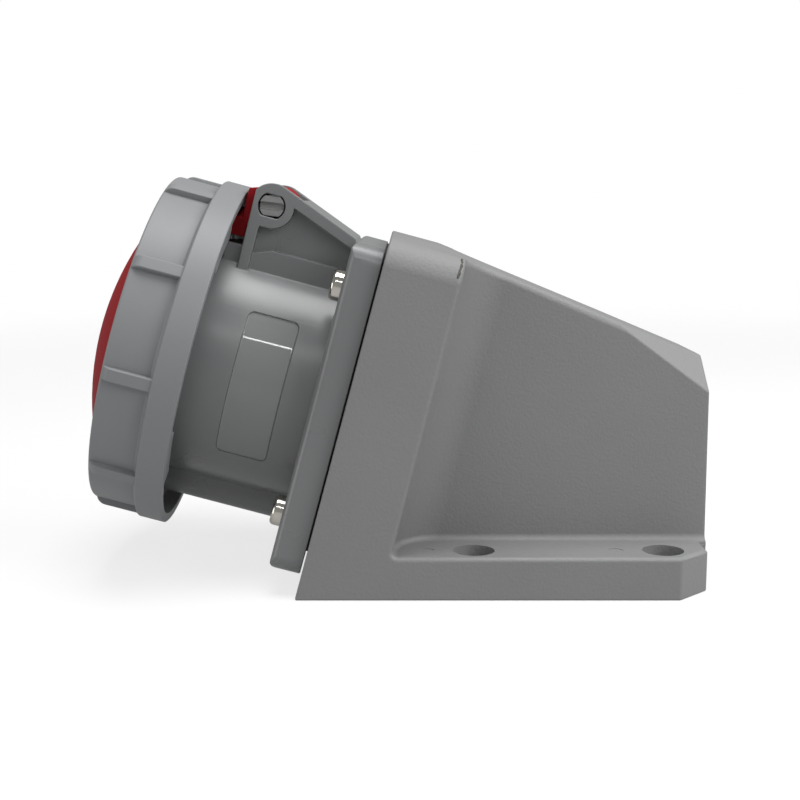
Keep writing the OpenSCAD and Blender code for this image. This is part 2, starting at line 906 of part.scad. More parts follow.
module flange_gasket() {
  up = flange_half - (gasket_inset + gasket_inset_down) / 2;
  shift = flange_shift + (gasket_inset_down - gasket_inset) / 2;
  side = flange_side - gasket_inset;
  corner = flange_corner_r - gasket_inset / 2;
  color(rubber_black)
    socket_frame()
      translate([0, 0, lip_z])
        linear_extrude(gasket_t)
          difference() {
            translate([shift, 0])
              round_rectangle(up, side, corner);
            circle(retainer_r + opening_land);
            at_flange_screws()
              circle(d = flange_screw_d + 2 * screw_gap);
          }
}

// Fasteners

// Pan head with a cross recess, its underside at z = 0
module pan_head(d, h) {
  edge_r = head_round * h;
  recess_w = recess_width * d;
  recess_len = recess_span * d;
  recess_depth = recess_sink * h;
  difference() {
    rotate_extrude() {
      square([d / 2, h - edge_r]);
      square([d / 2 - edge_r, h]);
      translate([d / 2 - edge_r, h - edge_r])
        circle(edge_r);
    }
    for (turn = [45, 135])
      rotate([0, 0, turn])
        translate([-recess_len / 2, -recess_w / 2, h - recess_depth])
          cube([recess_len, recess_w, h]);
  }
}

module flange_screws() {
  shank = flange_t + gasket_t + insert_len;
  color(zinc)
    socket_frame()
      at_flange_screws() {
        pan_head(flange_head_d, flange_head_h);
        translate([0, 0, -shank])
          cylinder(d = flange_screw_d, h = shank + flange_head_h / 4);
      }
}

module threaded_inserts() {
  color(brass)
    socket_frame()
      at_flange_screws()
        translate([0, 0, lip_z - insert_len])
          difference() {
            cylinder(r = insert_r, h = insert_len);
            translate([0, 0, -cut])
              cylinder(d = flange_screw_d + 2 * thread_gap, h = insert_len + 2 * cut);
          }
}

// Pin across both ears: round between them, two flats and a slot at each end
module hinge_pin() {
  end_half = ear_out - run_gap;
  color(nylon_grey)
    socket_frame()
      translate([hinge_x, 0, hinge_z])
        rotate([0, -pin_turn, 0])
          difference() {
            across_socket(2 * end_half)
              circle(pin_r);
            both_sides() {
              for (side = [0, 1])
                mirror([side, 0, 0])
                  translate([pin_flats / 2, arm_half, -pin_r - cut])
                    cube([pin_r, ear_t + cut, 2 * pin_r + 2 * cut]);
              translate([-pin_slot_w / 2, end_half - pin_slot_depth, -pin_r - cut])
                cube([pin_slot_w, pin_slot_depth + cut, 2 * pin_r + 2 * cut]);
            }
          }
}

// Contacts

// Holes for the sleeves in the bulkhead, the retainer and the carrier
module contact_holes(back, front, gap) {
  for (place = line_places)
    around_axis(place, contact_circle_r)
      translate([0, 0, back])
        cylinder(r = sleeve_r(line_pin_d) + gap, h = front - back);
  around_axis(earth_place, contact_circle_r)
    translate([0, 0, back])
      cylinder(r = sleeve_r(earth_pin_d) + gap, h = front - back);
  translate([0, 0, back])
    cylinder(r = sleeve_r(pilot_pin_d) + gap, h = front - back);
}

module retainer_screw_holes(back, front, gap) {
  for (place = retainer_screw_places)
    around_axis(place, retainer_screw_circle_r)
      translate([0, 0, back])
        cylinder(d = retainer_screw_d + 2 * gap, h = front - back);
}

// Entry hole in the carrier's face, widened at its mouth
module entry_hole(pin) {
  entry_r = pin / 2 + entry_gap;
  cylinder(r = entry_r, h = carrier_face + cut);
  translate([0, 0, carrier_face - entry_sink])
    cylinder(r1 = entry_r, r2 = entry_r + entry_sink + cut, h = entry_sink + cut);
}

module contact_carrier() {
  color(insulator_black)
    socket_frame()
      difference() {
        union() {
          translate([0, 0, bulkhead_rise])
            cylinder(r = carrier_r, h = carrier_face - face_chamfer - bulkhead_rise);
          translate([0, 0, carrier_face - face_chamfer])
            cylinder(r1 = carrier_r, r2 = carrier_r - face_chamfer, h = face_chamfer);
        }
        contact_holes(0, carrier_face - entry_t, fit_gap);
        retainer_screw_holes(0, bulkhead_rise + retainer_screw_bite + cut, thread_gap);
        for (place = line_places)
          around_axis(place, contact_circle_r)
            entry_hole(line_pin_d);
        around_axis(earth_place, contact_circle_r)
          entry_hole(earth_pin_d);
        entry_hole(pilot_pin_d);
      }
}

// Turned sleeve with slit fingers, a groove for its spring band, a locating collar and a
// terminal, its axis on z and its terminal screw towards +x
module sleeve(pin, front) {
  r = sleeve_r(pin);
  difference() {
    union() {
      translate([0, 0, terminal_end])
        cylinder(r = r, h = front - terminal_end);
      translate([0, 0, bulkhead_back - sleeve_collar_t])
        cylinder(r = r + sleeve_collar_h, h = sleeve_collar_t);
    }
    translate([0, 0, front - pin_reach])
      cylinder(r = pin / 2 + fit_gap, h = pin_reach + cut);
    translate([0, 0, terminal_end - cut])
      cylinder(d = min(wire_d, pin), h = wire_depth + cut);
    translate([0, 0, terminal_end + terminal_screw_set])
      rotate([0, 90, 0])
        cylinder(d = terminal_screw_d + 2 * thread_gap, h = r + cut);
    for (turn = [45, 135])
      rotate([0, 0, turn])
        translate([-r - cut, -slit_w / 2, front - slit_len])
          cube([2 * r + 2 * cut, slit_w, slit_len + cut]);
    translate([0, 0, front - 2 * band_w])
      difference() {
        cylinder(r = r + cut, h = band_w);
        translate([0, 0, -cut])
          cylinder(r = r - spring_t - thread_gap, h = band_w + 2 * cut);
      }
  }
}

module line_contact(index) {
  color(brass)
    socket_frame()
      around_axis(line_places[index], contact_circle_r)
        sleeve(line_pin_d, sleeve_front);
}

module contact_l1() {
  line_contact(0);
}

module contact_l2() {
  line_contact(1);
}

module contact_l3() {
  line_contact(2);
}

module contact_n() {
  line_contact(3);
}

module contact_pe() {
  color(brass)
    socket_frame()
      around_axis(earth_place, contact_circle_r)
        sleeve(earth_pin_d, sleeve_front);
}

module pilot_contact() {
  color(brass)
    socket_frame()
      sleeve(pilot_pin_d, sleeve_front - pilot_set);
}

// Open steel band that lies in the groove of a sleeve
module spring_band(pin, front) {
  r = sleeve_r(pin);
  rotate([0, 0, band_open / 2])
    rotate_extrude(angle = 360 - band_open)
      translate([r - spring_t, front - 2 * band_w + thread_gap])
        square([spring_t, band_w - 2 * thread_gap]);
}

module spring_bands() {
  color(steel)
    socket_frame() {
      for (place = line_places)
        around_axis(place, contact_circle_r)
          spring_band(line_pin_d, sleeve_front);
      around_axis(earth_place, contact_circle_r)
        spring_band(earth_pin_d, sleeve_front);
      spring_band(pilot_pin_d, sleeve_front - pilot_set);
    }
}

module contact_retainer() {
  color(insulator_black)
    socket_frame()
      difference() {
        translate([0, 0, -flange_t])
          cylinder(r = retainer_r, h = flange_t + bulkhead_back);
        contact_holes(-flange_t - cut, bulkhead_back + cut, fit_gap);
        contact_holes(bulkhead_back - sleeve_collar_t - fit_gap, bulkhead_back + cut,
          sleeve_collar_h + fit_gap);
        retainer_screw_holes(-flange_t - cut, bulkhead_back + cut, screw_gap);
      }
}

module retainer_screws() {
  color(zinc)
    socket_frame()
      for (place = retainer_screw_places)
        around_axis(place, retainer_screw_circle_r)
          translate([0, 0, -flange_t])
            union() {
              rotate([180, 0, 0])
                pan_head(retainer_head_d, retainer_head_h);
              translate([0, 0, -retainer_head_h / 4])
                cylinder(
                  d = retainer_screw_d,
                  h = retainer_head_h / 4 + flange_t + bulkhead_rise + retainer_screw_bite
                );
            }
}

// Slotted screw in the side of a terminal
module terminal_screw(pin) {
  r = sleeve_r(pin);
  tip = min(wire_d, pin) / 2 - terminal_screw_out;
  slot_w = terminal_screw_d / 5;
  translate([0, 0, terminal_end + terminal_screw_set])
    rotate([0, 90, 0])
      difference() {
        translate([0, 0, tip])
          cylinder(d = terminal_screw_d, h = r + terminal_screw_out - tip);
        translate([-terminal_screw_d, -slot_w / 2, r])
          cube([2 * terminal_screw_d, slot_w, terminal_screw_out + cut]);
      }
}

module terminal_screws() {
  color(zinc)
    socket_frame() {
      for (place = line_places)
        around_axis(place, contact_circle_r)
          terminal_screw(line_pin_d);
      around_axis(earth_place, contact_circle_r)
        terminal_screw(earth_pin_d);
      terminal_screw(pilot_pin_d);
    }
}

// Lid

// Arm from the rim of the lid back to the knuckle between the ears
module hinge_arm() {
  intersection() {
    ring_sector(arm_in_r, arm_out_r, hinge_z + knuckle_r, rim_back + lid_rim_t / 2, 0, 90);
    translate([0, -arm_half, 0])
      cube([ring_r, 2 * arm_half, ring_front]);
  }
  across_socket(2 * arm_half) {
    polygon([
      [arm_back, arm_in_r],
      [arm_back, ring_r],
      [hinge_z, hinge_x + knuckle_r],
      [hinge_z, hinge_x - knuckle_r]
    ]);
    translate([hinge_z, hinge_x])
      circle(knuckle_r);
  }
}

module lid() {
  seat_r = seal_out_r + fit_gap + groove_wall;
  hollow_r = seal_in_r - fit_gap - groove_wall;
  color(lid_red)
    socket_frame()
      difference() {
        union() {
          intersection() {
            translate([0, 0, dome_mid_z])
              sphere(dome_r);
            translate([0, 0, rim_back])
              cylinder(r = dome_edge_r, h = dome_r);
          }
          translate([0, 0, rim_back])
            cylinder(r = ring_in_r - run_gap, h = lid_rim_t);
          translate([0, 0, seat_z])
            cylinder(r = seat_r, h = seat_depth + lid_rim_t / 2);
          hinge_arm();
        }
        intersection() {
          translate([0, 0, dome_mid_z])
            sphere(dome_r - lid_wall);
          translate([0, 0, seat_z - cut])
            cylinder(r = hollow_r, h = dome_r);
        }
        translate([0, 0, seat_z - cut])
          difference() {
            cylinder(r = seal_out_r + fit_gap, h = groove_depth + cut);
            translate([0, 0, -cut])
              cylinder(r = seal_in_r - fit_gap, h = groove_depth + 3 * cut);
          }
        translate([hinge_x, 0, hinge_z])
          rotate([90, 0, 0])
            cylinder(r = pin_r + pin_run_gap, h = ear_gap + 2 * cut, center = true);
      }
}

module lid_seal() {
  seal_back = barrel_len + run_gap;
  color(rubber_black)
    socket_frame()
      translate([0, 0, seal_back])
        difference() {
          cylinder(r = seal_out_r, h = seat_z + groove_depth - seal_back);
          translate([0, 0, -cut])
            cylinder(r = seal_in_r, h = groove_depth + seat_stand + 2 * cut);
        }
}

// Locking ring

// Half section of a ring body with a rounded front edge
module ring_half(r, edge_r) {
  translate([0, ring_back])
    square([r, ring_front - edge_r - ring_back]);
  translate([0, ring_back])
    square([r - edge_r, ring_front - ring_back]);
  translate([r - edge_r, ring_front - edge_r])
    circle(edge_r);
}

module ring_half_section() {
  band_front = ring_back + band_len;
  bead_front = rim_back - run_gap;
  difference() {
    union() {
      ring_half(rib_base_r, ring_edge_r);
      translate([0, ring_back])
        square([ring_r, band_len]);
      polygon([
        [0, band_front],
        [ring_r, band_front],
        [rib_base_r, band_front + band_bevel],
        [0, band_front + band_bevel]
      ]);
    }
    translate([-cut, ring_back - cut])
      square([band_in_r + cut, band_len - ring_wall + cut]);
    translate([-cut, ring_back - cut])
      square([ring_in_r + cut, ring_front_in - ring_back + cut]);
    translate([-cut, ring_back])
      square([mouth_r + cut, ring_front]);
  }
  translate([bead_r, bead_front - bead_t])
    square([bead_h + ring_wall / 2, bead_t]);
}

module ring_ribs() {
  rib_step = 360 / rib_count;
  rib_r = rib_base_r + rib_h;
  intersection() {
    rotate_extrude()
      difference() {
        ring_half(rib_r, rib_end_r);
        square([rib_base_r - ring_wall / 2, 2 * ring_front]);
        square([2 * ring_r, ring_back + band_len - ring_wall / 2]);
      }
    for (i = [0:rib_count - 1])
      rotate([0, 0, (i + 0.5) * rib_step - rib_turn])
        translate([0, -rib_w / 2, 0])
          cube([2 * ring_r, rib_w, 2 * ring_front]);
  }
}

module locking_ring() {
  color(grey_ring)
    socket_frame() {
      rotate_extrude()
        ring_half_section();
      ring_ribs();
      for (place = lug_places)
        ring_sector(ring_lug_r, band_in_r + band_wall / 2, ring_back + lug_set,
          ring_back + lug_set + lug_t, place + lock_turn, lug_angle);
    }
}

wall_box();
socket_housing();
flange_gasket();
flange_screws();
threaded_inserts();
hinge_pin();
contact_carrier();
contact_l1();
contact_l2();
contact_l3();
contact_n();
contact_pe();
pilot_contact();
spring_bands();
contact_retainer();
retainer_screws();
terminal_screws();
lid();
lid_seal();
locking_ring();
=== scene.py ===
import math

import bmesh
import bpy
from mathutils import Matrix, Vector, noise


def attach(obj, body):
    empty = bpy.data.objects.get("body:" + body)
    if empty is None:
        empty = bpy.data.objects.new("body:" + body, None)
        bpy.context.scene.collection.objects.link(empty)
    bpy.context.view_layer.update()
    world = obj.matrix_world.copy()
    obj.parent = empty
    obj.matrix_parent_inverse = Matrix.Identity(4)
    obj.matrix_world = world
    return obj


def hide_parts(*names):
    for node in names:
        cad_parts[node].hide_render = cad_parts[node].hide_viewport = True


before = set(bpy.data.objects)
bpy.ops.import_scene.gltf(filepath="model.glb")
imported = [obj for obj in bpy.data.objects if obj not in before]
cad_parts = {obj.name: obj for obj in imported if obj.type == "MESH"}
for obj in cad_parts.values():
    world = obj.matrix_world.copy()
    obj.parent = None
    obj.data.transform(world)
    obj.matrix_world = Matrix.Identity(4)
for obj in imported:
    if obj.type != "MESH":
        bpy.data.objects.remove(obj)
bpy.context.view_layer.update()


# Wall box
# One hollow moulding of grey glass filled plastic with a fine matt texture. The tilted hood
# carries the socket, the narrow body holds the wires, and the feet are bored for wall screws.
mm = 0.001
weld = 0.001 * mm
cut_near = 0.0001 * mm
near = 0.01 * mm
quarter_turn = math.pi / 2
flat_turn = math.radians(0.3)
sharp_turn = math.radians(28)
crease_turn = math.radians(40)

tilt = math.radians(15)
waist_tilt = math.radians(14.1)
lip_foot_x = -83.5 * mm
waist_foot_x = -57.6 * mm
end_x = 44.7 * mm
end_h = 70.5 * mm
box_half = 51 * mm
body_half = 29 * mm
box_wall = 3.5 * mm
end_wall = 6 * mm

waist_r = 15 * mm
waist_steps = 10
waist_edge_r = 1.5 * mm
waist_edge_steps = 4
waist_edge_turn = math.radians(40)
hood_top = Vector((-54.3, 0, 109)) * mm
head_room = 5 * mm
hood_edge_r = 10 * mm
hood_edge_steps = 8
roof_kink = Vector((-37.4, 0, 104.4)) * mm
roof_edge_r = 2.2 * mm
roof_edge_steps = 5
roof_edge_turn = math.radians(50)
roof_margin = 1 * mm
rim_r = 0.7 * mm
rim_steps = 3
rim_least = 1.4 * mm
facet_len = 31 * mm
facet_in = 13 * mm
facet_drop = 10 * mm

foot_h = 13.3 * mm
foot_end_x = 43 * mm
foot_chamfer = 10 * mm
foot_fillet = 2 * mm
foot_fillet_steps = 6
foot_holes = [Vector((x, y, 0)) * mm for x in (-29, 29) for y in (-42, 42)]
foot_hole_r = 3.25 * mm
foot_bore_r = 6.35 * mm
foot_bore_depth = 5 * mm
mark_set = 14.5 * mm
mark_r = 2.3 * mm
mark_depth = 0.12 * mm

entry_r = 20.25 * mm
entry_z = 34 * mm
front_opening_r = 43 * mm
opening_sides = 96
lip_z = -10.3 * mm
screw_out = 38.4 * mm
insert_hole_r = 3.8 * mm
insert_len = 10 * mm
boss_r = 6.4 * mm
boss_len = 12.6 * mm

box_shades = (0.178, 0.180, 0.179), (0.196, 0.198, 0.197)
box_roughness = 0.5, 0.6
box_grain = 0.9 * mm
box_grain_depth = 0.12 * mm

both_sides = Vector((0, -1, 0)), Vector((0, 1, 0))
socket_up = Vector((math.sin(tilt), 0, math.cos(tilt)))
socket_axis = Vector((-math.cos(tilt), 0, math.sin(tilt)))
seat_mid = Vector((-78.39, 0, 58.88)) * mm
lip_mid = seat_mid + lip_z * socket_axis
roof_out = Vector((roof_kink.z - end_h, 0, end_x - roof_kink.x)).normalized()
waist_out = Vector((math.cos(waist_tilt), 0, -math.sin(waist_tilt)))
waist_foot = Vector((waist_foot_x, 0, 0))


def level_ring(height, wall, footed, swell=0):
    """Half of a level cut through the box, from the middle of the lip to the middle of the end."""
    lip = lip_foot_x + height * math.tan(tilt) + wall / math.cos(tilt)
    waist = waist_foot_x + height * math.tan(waist_tilt) - wall / math.cos(waist_tilt) + swell
    side = box_half - wall
    inner = body_half - wall + swell
    end = end_x - (end_wall if wall else 0)
    hollow = waist_r + wall - swell
    turns = [i * quarter_turn / waist_steps for i in range(waist_steps + 1)]
    arc = [(waist + hollow * (1 - math.cos(t)), hollow * math.sin(t) - inner - hollow) for t in turns]
    along = [foot_end_x - foot_chamfer, foot_end_x - foot_chamfer / 2]
    if footed:
        arc = [(x, -side) for x, y in arc]
        beside = [(along[0], -side), (foot_end_x, foot_chamfer - side)]
    else:
        beside = [(x, -inner) for x in along]
    ring = [(lip, 0), (lip, -side), (waist, -side), *arc, *beside]
    ring += [(foot_end_x, -inner), (end, -inner), (end, 0)]
    if wall:
        ring = [(min(x, end), y) for x, y in ring]
    return [(x, y, height) for x, y in ring]


def pared(mesh, point, out):
    """Cuts away what lies beyond a plane and closes the cut."""
    everything = [*mesh.verts, *mesh.edges, *mesh.faces]
    cut = bmesh.ops.bisect_plane(mesh, geom=everything, dist=cut_near, plane_co=point, plane_no=out,
                                 clear_outer=True)
    rim = [g for g in cut["geom_cut"] if isinstance(g, bmesh.types.BMEdge)]
    bmesh.ops.holes_fill(mesh, edges=rim, sides=0)


def closed(mesh):
    """Fills what is still open in a mesh."""
    bmesh.ops.holes_fill(mesh, edges=[e for e in mesh.edges if e.is_boundary], sides=0)


def box_solid(wall):
    """The box, or its hollow where a wall is given, from level cuts that are bridged and pared."""
    top = hood_top.z + head_room
    if wall:
        rings = [level_ring(wall, wall, False), level_ring(top, wall, False)]
    else:
        rings = [level_ring(0, 0, True, foot_fillet), level_ring(foot_h, 0, True, foot_fillet)]
        for i in range(foot_fillet_steps + 1):
            turn = i * quarter_turn / foot_fillet_steps
            rise = foot_fillet * (1 - math.cos(turn))
            swell = foot_fillet * (1 - math.sin(turn))
            rings.append(level_ring(foot_h + rise, 0, False, swell))
        rings.append(level_ring(top, 0, False))
    mesh = bmesh.new()
    rows = []
    for ring in rings:
        corners = [mesh.verts.new(place) for place in ring]
        rows.append([mesh.edges.new(pair) for pair in zip(corners, corners[1:])])
    for low, high in zip(rows, rows[1:]):
        bmesh.ops.bridge_loops(mesh, edges=low + high)
    bmesh.ops.remove_doubles(mesh, verts=mesh.verts, dist=weld)
    bmesh.ops.mirror(mesh, geom=[*mesh.verts, *mesh.edges, *mesh.faces], axis="Y", merge_dist=weld)
    closed(mesh)
    bmesh.ops.recalc_face_normals(mesh, faces=mesh.faces)

    pared(mesh, hood_top - wall * socket_up, socket_up)
    pared(mesh, roof_kink - wall * roof_out, roof_out)
    for side in both_sides:
        middle = hood_top - hood_edge_r * socket_up + (box_half - hood_edge_r) * side
        for i in range(1, hood_edge_steps):
            turn = i * quarter_turn / hood_edge_steps
            out = math.cos(turn) * side + math.sin(turn) * socket_up
            pared(mesh, middle + (hood_edge_r - wall) * out, out)
    bmesh.ops.dissolve_limit(mesh, angle_limit=flat_turn, verts=mesh.verts, edges=mesh.edges)
    return mesh


def faceted(mesh, wall):
    """Cuts the slanting facets off the corners of the end."""
    for side in both_sides:
        start_h = end_h + facet_len * roof_out.x / roof_out.z
        start = Vector((end_x - facet_len, 0, start_h)) + body_half * side
        across = Vector((end_x, 0, end_h)) + (body_half - facet_in) * side - start
        down = Vector((end_x, 0, end_h - facet_drop)) + body_half * side - start
        out = across.cross(down).normalized()
        out *= math.copysign(1, out.x)
        pared(mesh, start - wall * out, out)
    bmesh.ops.dissolve_limit(mesh, angle_limit=flat_turn, verts=mesh.verts, edges=mesh.edges)
    return mesh


def rounded(mesh, edges, radius, steps):
    """Rounds some edges of a mesh."""
    bmesh.ops.bevel(mesh, geom=edges, offset=radius, offset_type="OFFSET", segments=steps, profile=0.5,
                    affect="EDGES", clamp_overlap=False, material=-1)


def sharp_edges(mesh, least_turn=sharp_turn, least_length=0):
    """Edges of a mesh where its faces turn by more than an angle."""
    whole = [e for e in mesh.edges if e.is_manifold and e.calc_length() > least_length]
    return [e for e in whole if e.calc_face_angle() > least_turn]


def on_roof_edge(edge):
    """Whether an edge lies where the roof meets a side of the narrow body."""
    in_roof = all(abs((v.co - roof_kink).dot(roof_out)) < near for v in edge.verts)
    outs = [abs(v.co.y) for v in edge.verts]
    beside = min(outs) > body_half - roof_margin and max(outs) < body_half + waist_r - roof_margin
    return in_roof and beside and edge.verts[0].co.y * edge.verts[1].co.y > 0


def on_waist_edge(edge):
    """Whether an edge runs round the recess between hood and foot."""
    behind = all(abs((v.co - waist_foot).dot(waist_out)) < near for v in edge.verts)
    level = all(abs(v.co.z - foot_h) < near for v in edge.verts)
    outside = all(abs(v.co.y) > box_half - near for v in edge.verts)
    low = all(foot_h - near < v.co.z < foot_h + foot_fillet + near for v in edge.verts)
    return behind or level or (outside and low)


def rod(radius, start, end, sides=64):
    """A round rod between two points."""
    mesh = bmesh.new()
    turn = (end - start).to_track_quat("Z", "Y").to_matrix().to_4x4()
    bmesh.ops.create_cone(mesh, cap_ends=True, segments=sides, radius1=radius, radius2=radius,
                          depth=(end - start).length, matrix=Matrix.Translation((start + end) / 2) @ turn)
    return mesh


def object_of(mesh, name):
    """Makes an object in the scene from a mesh."""
    data = bpy.data.meshes.new(name)
    mesh.to_mesh(data)
    mesh.free()
    piece = bpy.data.objects.new(name, data)
    bpy.context.scene.collection.objects.link(piece)
    return piece


def combined(mesh, others, operation):
    """Cuts solids out of a mesh or joins them to it."""
    block = object_of(mesh, "block")
    tools = [object_of(other, "tool") for other in others]
    for tool in tools:
        step = block.modifiers.new("step", "BOOLEAN")
        step.operation = operation
        step.solver = "EXACT"
        step.object = tool
    shown = block.evaluated_get(bpy.context.evaluated_depsgraph_get())
    result = bmesh.new()
    result.from_mesh(shown.to_mesh())
    for spent in (block, *tools):
        bpy.data.objects.remove(spent)
    return result


def finished(mesh, name, *materials):
    """Makes a mesh a piece, with smooth faces between its edges."""
    for face in mesh.faces:
        face.smooth = True
    for edge in mesh.edges:
        edge.smooth = not (edge.is_manifold and edge.calc_face_angle() > crease_turn)
    piece = object_of(mesh, name)
    for material in materials:
        piece.data.materials.append(material)
    even = piece.modifiers.new("even_normals", "WEIGHTED_NORMAL")
    even.keep_sharp = True
    return piece


def plastic(name, shades, roughness, grain, depth, shine=0.5, clouds=35):
    """Moulded plastic: two close shades in soft clouds and a fine grain in the surface."""
    cloud_detail = 4
    cloud_low = 0.3
    cloud_high = 0.7
    grain_detail = 3
    material = bpy.data.materials.new(name)
    material.use_nodes = True
    nodes, links = material.node_tree.nodes, material.node_tree.links
    shader = nodes["Principled BSDF"]
    shader.inputs["Specular IOR Level"].default_value = shine
    place = nodes.new("ShaderNodeTexCoord").outputs["Object"]

    cloud = nodes.new("ShaderNodeTexNoise")
    cloud.inputs["Scale"].default_value = clouds
    cloud.inputs["Detail"].default_value = cloud_detail
    links.new(place, cloud.inputs["Vector"])
    shade = nodes.new("ShaderNodeMix")
    shade.data_type = "RGBA"
    shade.inputs["A"].default_value = (*shades[0], 1)
    shade.inputs["B"].default_value = (*shades[1], 1)
    links.new(cloud.outputs["Fac"], shade.inputs["Factor"])
    links.new(shade.outputs["Result"], shader.inputs["Base Color"])

    pits = nodes.new("ShaderNodeTexNoise")
    pits.inputs["Scale"].default_value = 1 / grain
    pits.inputs["Detail"].default_value = grain_detail
    links.new(place, pits.inputs["Vector"])
    relief = nodes.new("ShaderNodeBump")
    relief.inputs["Strength"].default_value = 1
    relief.inputs["Distance"].default_value = depth
    links.new(pits.outputs["Fac"], relief.inputs["Height"])
    links.new(relief.outputs["Normal"], shader.inputs["Normal"])

    polish = nodes.new("ShaderNodeMapRange")
    polish.inputs["From Min"].default_value = cloud_low
    polish.inputs["From Max"].default_value = cloud_high
    polish.inputs["To Min"].default_value = roughness[0]
    polish.inputs["To Max"].default_value = roughness[1]
    links.new(cloud.outputs["Fac"], polish.inputs["Value"])
    links.new(polish.outputs["Result"], shader.inputs["Roughness"])
    return material


box_mesh = box_solid(0)
roof_line = [e for e in sharp_edges(box_mesh, roof_edge_turn) if e.is_convex and on_roof_edge(e)]
rounded(box_mesh, roof_line, roof_edge_r, roof_edge_steps)
faceted(box_mesh, 0)
waist_line = [e for e in sharp_edges(box_mesh, waist_edge_turn) if e.is_convex and on_waist_edge(e)]
rounded(box_mesh, waist_line, waist_edge_r, waist_edge_steps)
rounded(box_mesh, sharp_edges(box_mesh, sharp_turn, rim_least), rim_r, rim_steps)
closed(box_mesh)
bmesh.ops.recalc_face_normals(box_mesh, faces=box_mesh.faces)

past_lip = end_wall * socket_axis
screw_places = [
    lip_mid + up * screw_out * socket_up + screw_out * side
    for up in (-1, 1) for side in both_sides
]
bosses = [rod(boss_r, place - boss_len * socket_axis, place + past_lip) for place in screw_places]
insert_holes = [
    rod(insert_hole_r, place - insert_len * socket_axis, place + past_lip)
    for place in screw_places
]
entry_start = Vector((end_x - 2 * end_wall, 0, entry_z))
entry_end = Vector((end_x + end_wall, 0, entry_z))
box_mesh = combined(box_mesh, [
    combined(faceted(box_solid(box_wall), box_wall), bosses, "DIFFERENCE"),
    *insert_holes,
    rod(entry_r, entry_start, entry_end, opening_sides),
    rod(front_opening_r, lip_mid - 2 * past_lip, lip_mid + past_lip, opening_sides),
], "DIFFERENCE")
for place in foot_holes:
    mark = place + Vector((-mark_set, 0, foot_h - mark_depth))
    box_mesh = combined(box_mesh, [rod(mark_r, mark, mark + Vector((0, 0, foot_h)))], "DIFFERENCE")
    above = place + Vector((0, 0, 2 * foot_h))
    box_mesh = combined(box_mesh, [
        rod(foot_hole_r, place - Vector((0, 0, foot_h)), above),
        rod(foot_bore_r, place + Vector((0, 0, foot_h - foot_bore_depth)), above),
    ], "DIFFERENCE")
closed(box_mesh)
box_plastic = plastic("box_plastic", box_shades, box_roughness, box_grain, box_grain_depth)
wall_box = finished(box_mesh, "moulded_wall_box", box_plastic)
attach(wall_box, "socket")
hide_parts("wall_box")


# Torn flash
# A ragged near-black mark on one corner of the hood, left where the flash of the moulding was
# torn off. It stands a little proud of the edge.
scar_line = [
    Vector((-33.4, -45.6, 102.2)) * mm,
    Vector((-33.5, -47.2, 101.0)) * mm,
    Vector((-34.1, -49.1, 99.2)) * mm,
    Vector((-34.8, -50.5, 97.0)) * mm,
]
scar_half_w = 0.42 * mm
scar_half_share = 0.6
scar_detail = 4
scar_rag = 0.22 * mm
scar_rag_size = 1.1 * mm
# Near-black shades for the mark, far darker than the box's plastic.
scar_shades = (0.008, 0.008, 0.007), (0.13, 0.125, 0.105)
scar_roughness = 0.5, 0.7
scar_grain = 0.3 * mm
scar_grain_depth = 0.1 * mm
scar_shine = 0.3
scar_clouds = 900
scar_mesh = bmesh.new()
for start, end in zip(scar_line, scar_line[1:]):
    along = (end - start).to_track_quat("Z", "Y").to_matrix().to_4x4()
    half_len = scar_half_share * (end - start).length
    size = Matrix.Diagonal((scar_half_w, scar_half_w, half_len, 1))
    place = Matrix.Translation((start + end) / 2) @ along @ size
    bmesh.ops.create_icosphere(scar_mesh, subdivisions=scar_detail, radius=1, matrix=place)
scar_mesh.normal_update()
for vert in scar_mesh.verts:
    vert.co += scar_rag * noise.noise(vert.co / scar_rag_size) * vert.normal
scar_plastic = plastic("scar_plastic", scar_shades, scar_roughness, scar_grain, scar_grain_depth,
                       scar_shine, scar_clouds)
scar = finished(scar_mesh, "torn_flash", scar_plastic)
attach(scar, "socket")


# Threaded inserts
# Four turned brass inserts with an inside thread, moulded into the corners of the hood. The
# flange screws go into them.
brass_colour = 0.66, 0.46, 0.17
brass_roughness = 0.22, 0.38
brass_streaks = 900


def metal(name, colour, roughness, streaks):
    """Bare or plated metal with fine tool marks in its polish."""
    dull_share = 0.82
    mark_detail = 5
    material = bpy.data.materials.new(name)
    material.use_nodes = True
    nodes, links = material.node_tree.nodes, material.node_tree.links
    shader = nodes["Principled BSDF"]
    shader.inputs["Metallic"].default_value = 1
    place = nodes.new("ShaderNodeTexCoord").outputs["Object"]

    marks = nodes.new("ShaderNodeTexNoise")
    marks.inputs["Scale"].default_value = streaks
    marks.inputs["Detail"].default_value = mark_detail
    links.new(place, marks.inputs["Vector"])
    shade = nodes.new("ShaderNodeMix")
    shade.data_type = "RGBA"
    shade.inputs["A"].default_value = (*[dull_share * c for c in colour], 1)
    shade.inputs["B"].default_value = (*colour, 1)
    links.new(marks.outputs["Fac"], shade.inputs["Factor"])
    links.new(shade.outputs["Result"], shader.inputs["Base Color"])
    polish = nodes.new("ShaderNodeMapRange")
    polish.inputs["To Min"].default_value = roughness[0]
    polish.inputs["To Max"].default_value = roughness[1]
    links.new(marks.outputs["Fac"], polish.inputs["Value"])
    links.new(polish.outputs["Result"], shader.inputs["Roughness"])
    return material


def dressed(material, *nodes):
    """Gives a material to nodes that are shown as their solids are."""
    for node in nodes:
        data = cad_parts[node].data
        data.materials.clear()
        data.materials.append(material)


brass = metal("brass", brass_colour, brass_roughness, brass_streaks)
dressed(brass, "threaded_inserts")


